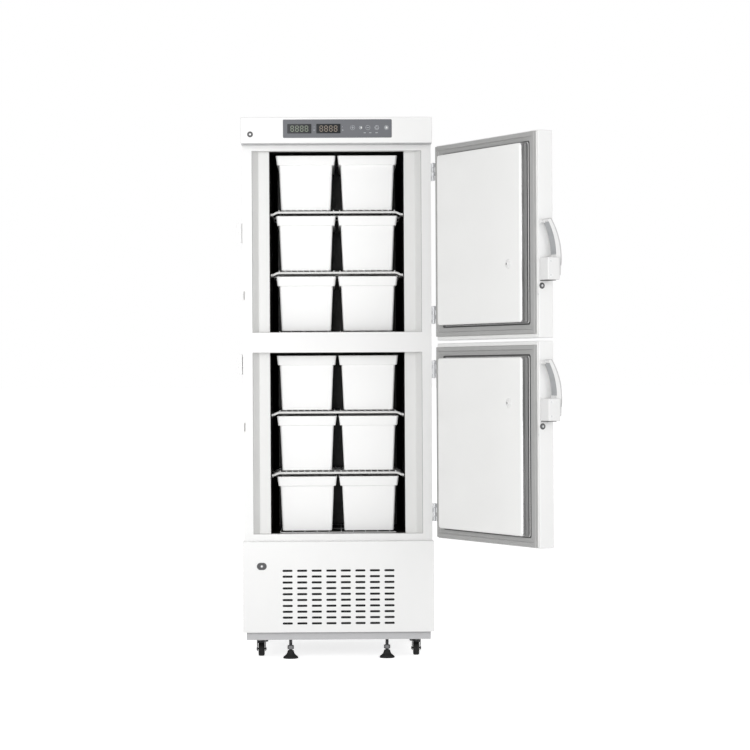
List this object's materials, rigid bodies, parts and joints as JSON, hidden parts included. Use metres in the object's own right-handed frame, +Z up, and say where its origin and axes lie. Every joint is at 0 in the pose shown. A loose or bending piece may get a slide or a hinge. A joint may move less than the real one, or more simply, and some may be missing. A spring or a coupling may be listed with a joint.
{
  "type": "laboratory freezer",
  "caption": "Upright laboratory freezer with insulated side-hinged doors, curved latch levers, wire shelves holding pull-out bins, a control fascia, a vented base grille and castors.",
  "frame": {"origin": "on the floor, under the centre of the cabinet body's footprint", "axes": "+X to the right of someone facing the freezer, +Y towards its back, +Z up"},
  "size_m": [1.0846, 1.2429, 1.882],
  "materials": {
    "white_paint": "gloss",
    "grey_paint": "satin",
    "latch_paint": "satin",
    "zinc_sheet": "satin",
    "foam": "matte",
    "dark_liner": "matte",
    "grey_trim": "satin",
    "white_wire": "satin",
    "overlay": "satin",
    "display_glass": "gloss",
    "lock_chrome": "polished",
    "hinge_steel": "satin",
    "castor_steel": "satin",
    "castor_rubber": "matte",
    "foot_rubber": "matte",
    "compressor_black": "satin",
    "condenser_metal": "satin",
    "fan_plastic": "satin",
    "bin_plastic": "gloss",
    "door_liner": "gloss",
    "gasket": "matte",
    "lever_metal": "satin"
  },
  "bodies": {
    "cabinet": {"cabinet_wrap": "white_paint", "rear_panel": "white_paint", "front_frame": "white_paint", "control_fascia": "white_paint", "grille_panel": "white_paint", "latch_strikes": "white_paint", "compressor_deck": "zinc_sheet", "foam_body": "foam", "upper_liner": "dark_liner", "lower_liner": "dark_liner", "throat_frames": "grey_trim", "upper_shelves": "white_wire", "lower_shelves": "white_wire", "control_overlay": "overlay", "display_windows": "display_glass", "lock_bezels": "lock_chrome", "cabinet_hinge_leaves": "hinge_steel", "base_frame": "grey_paint", "rear_castor_forks": "castor_steel", "compressor": "compressor_black", "condenser_unit": "condenser_metal"},
    "key_switch": {"key_switch_barrel": "lock_chrome"},
    "panel_lock": {"panel_lock_barrel": "lock_chrome"},
    "fan": {"fan_blades": "fan_plastic"},
    "left_foot": {"left_levelling_foot": "foot_rubber"},
    "right_foot": {"right_levelling_foot": "foot_rubber"},
    "front_left_fork": {"front_left_castor_fork": "castor_steel"},
    "front_right_fork": {"front_right_castor_fork": "castor_steel"},
    "front_left_wheel": {"front_left_castor_wheel": "castor_rubber"},
    "front_right_wheel": {"front_right_castor_wheel": "castor_rubber"},
    "rear_left_wheel": {"rear_left_castor_wheel": "castor_rubber"},
    "rear_right_wheel": {"rear_right_castor_wheel": "castor_rubber"},
    "upper_door": {"upper_door_skin": "white_paint", "upper_door_core": "foam", "upper_door_liner": "door_liner", "upper_door_gasket": "gasket", "upper_door_hinge_leaves": "hinge_steel", "upper_latch_housing": "latch_paint"},
    "upper_lever": {"upper_latch_lever": "lever_metal"},
    "upper_lock": {"upper_lock_barrel": "lock_chrome"},
    "lower_door": {"lower_door_skin": "white_paint", "lower_door_core": "foam", "lower_door_liner": "door_liner", "lower_door_gasket": "gasket", "lower_door_hinge_leaves": "hinge_steel", "lower_latch_housing": "latch_paint"},
    "lower_lever": {"lower_latch_lever": "lever_metal"},
    "lower_lock": {"lower_lock_barrel": "lock_chrome"},
    "upper_bottom_left_bin": {"upper_bottom_bin_left": "bin_plastic"},
    "upper_bottom_right_bin": {"upper_bottom_bin_right": "bin_plastic"},
    "upper_middle_left_bin": {"upper_middle_bin_left": "bin_plastic"},
    "upper_middle_right_bin": {"upper_middle_bin_right": "bin_plastic"},
    "upper_top_left_bin": {"upper_top_bin_left": "bin_plastic"},
    "upper_top_right_bin": {"upper_top_bin_right": "bin_plastic"},
    "lower_bottom_left_bin": {"lower_bottom_bin_left": "bin_plastic"},
    "lower_bottom_right_bin": {"lower_bottom_bin_right": "bin_plastic"},
    "lower_middle_left_bin": {"lower_middle_bin_left": "bin_plastic"},
    "lower_middle_right_bin": {"lower_middle_bin_right": "bin_plastic"},
    "lower_top_left_bin": {"lower_top_bin_left": "bin_plastic"},
    "lower_top_right_bin": {"lower_top_bin_right": "bin_plastic"}
  },
  "joints": [
    {"name": "key_switch_turn", "type": "hinge", "parent": "cabinet", "child": "key_switch", "pos_m": [-0.299, -0.367, 1.823], "axis": [0, 1, 0], "range_deg": [0, 90]},
    {"name": "panel_lock_turn", "type": "hinge", "parent": "cabinet", "child": "panel_lock", "pos_m": [-0.266, -0.367, 0.324], "axis": [0, 1, 0], "range_deg": [0, 90]},
    {"name": "fan_spin", "type": "hinge", "parent": "cabinet", "child": "fan", "pos_m": [-0.09, -0.172, 0.194], "axis": [0, 1, 0], "continuous": true},
    {"name": "left_foot_height", "type": "slide", "parent": "cabinet", "child": "left_foot", "axis": [0, 0, 1], "range_m": [0, 0.018]},
    {"name": "right_foot_height", "type": "slide", "parent": "cabinet", "child": "right_foot", "axis": [0, 0, 1], "range_m": [0, 0.018]},
    {"name": "front_left_swivel", "type": "hinge", "parent": "cabinet", "child": "front_left_fork", "pos_m": [-0.272, -0.262, 0.067], "axis": [0, 0, 1], "continuous": true},
    {"name": "front_left_roll", "type": "hinge", "parent": "front_left_fork", "child": "front_left_wheel", "pos_m": [-0.272, -0.242, 0.025], "axis": [1, 0, 0], "continuous": true},
    {"name": "front_right_swivel", "type": "hinge", "parent": "cabinet", "child": "front_right_fork", "pos_m": [0.272, -0.262, 0.067], "axis": [0, 0, 1], "continuous": true},
    {"name": "front_right_roll", "type": "hinge", "parent": "front_right_fork", "child": "front_right_wheel", "pos_m": [0.272, -0.242, 0.025], "axis": [1, 0, 0], "continuous": true},
    {"name": "rear_left_roll", "type": "hinge", "parent": "cabinet", "child": "rear_left_wheel", "pos_m": [-0.272, 0.22, 0.025], "axis": [1, 0, 0], "continuous": true},
    {"name": "rear_right_roll", "type": "hinge", "parent": "cabinet", "child": "rear_right_wheel", "pos_m": [0.272, 0.22, 0.025], "axis": [1, 0, 0], "continuous": true},
    {"name": "upper_door_hinge", "type": "hinge", "parent": "cabinet", "child": "upper_door", "pos_m": [0.338, -0.304, 1.445], "axis": [0, 0, 1], "range_deg": [-118, 32]},
    {"name": "upper_lever_pivot", "type": "hinge", "parent": "upper_door", "child": "upper_lever", "pos_m": [0.70573, -0.89335, 1.311], "axis": [-0.4695, 0.8829, 0], "range_deg": [-7, 20]},
    {"name": "upper_lock_turn", "type": "hinge", "parent": "upper_door", "child": "upper_lock", "pos_m": [0.66927, -0.88442, 1.275], "axis": [-0.4695, 0.8829, 0], "range_deg": [0, 90]},
    {"name": "lower_door_hinge", "type": "hinge", "parent": "cabinet", "child": "lower_door", "pos_m": [0.338, -0.304, 0.755], "axis": [0, 0, 1], "range_deg": [-118, 32]},
    {"name": "lower_lever_pivot", "type": "hinge", "parent": "lower_door", "child": "lower_lever", "pos_m": [0.70573, -0.89335, 0.851], "axis": [-0.4695, 0.8829, 0], "range_deg": [-7, 20]},
    {"name": "lower_lock_turn", "type": "hinge", "parent": "lower_door", "child": "lower_lock", "pos_m": [0.66927, -0.88442, 0.815], "axis": [-0.4695, 0.8829, 0], "range_deg": [0, 90]},
    {"name": "upper_bottom_bin_left_slide", "type": "slide", "parent": "cabinet", "child": "upper_bottom_left_bin", "axis": [0, -1, 0], "range_m": [0, 0.21]},
    {"name": "upper_bottom_bin_right_slide", "type": "slide", "parent": "cabinet", "child": "upper_bottom_right_bin", "axis": [0, -1, 0], "range_m": [0, 0.21]},
    {"name": "upper_middle_bin_left_slide", "type": "slide", "parent": "cabinet", "child": "upper_middle_left_bin", "axis": [0, -1, 0], "range_m": [0, 0.21]},
    {"name": "upper_middle_bin_right_slide", "type": "slide", "parent": "cabinet", "child": "upper_middle_right_bin", "axis": [0, -1, 0], "range_m": [0, 0.21]},
    {"name": "upper_top_bin_left_slide", "type": "slide", "parent": "cabinet", "child": "upper_top_left_bin", "axis": [0, -1, 0], "range_m": [0, 0.21]},
    {"name": "upper_top_bin_right_slide", "type": "slide", "parent": "cabinet", "child": "upper_top_right_bin", "axis": [0, -1, 0], "range_m": [0, 0.21]},
    {"name": "lower_bottom_bin_left_slide", "type": "slide", "parent": "cabinet", "child": "lower_bottom_left_bin", "axis": [0, -1, 0], "range_m": [0, 0.21]},
    {"name": "lower_bottom_bin_right_slide", "type": "slide", "parent": "cabinet", "child": "lower_bottom_right_bin", "axis": [0, -1, 0], "range_m": [0, 0.21]},
    {"name": "lower_middle_bin_left_slide", "type": "slide", "parent": "cabinet", "child": "lower_middle_left_bin", "axis": [0, -1, 0], "range_m": [0, 0.21]},
    {"name": "lower_middle_bin_right_slide", "type": "slide", "parent": "cabinet", "child": "lower_middle_right_bin", "axis": [0, -1, 0], "range_m": [0, 0.21]},
    {"name": "lower_top_bin_left_slide", "type": "slide", "parent": "cabinet", "child": "lower_top_left_bin", "axis": [0, -1, 0], "range_m": [0, 0.21]},
    {"name": "lower_top_bin_right_slide", "type": "slide", "parent": "cabinet", "child": "lower_top_right_bin", "axis": [0, -1, 0], "range_m": [0, 0.21]}
  ]
}
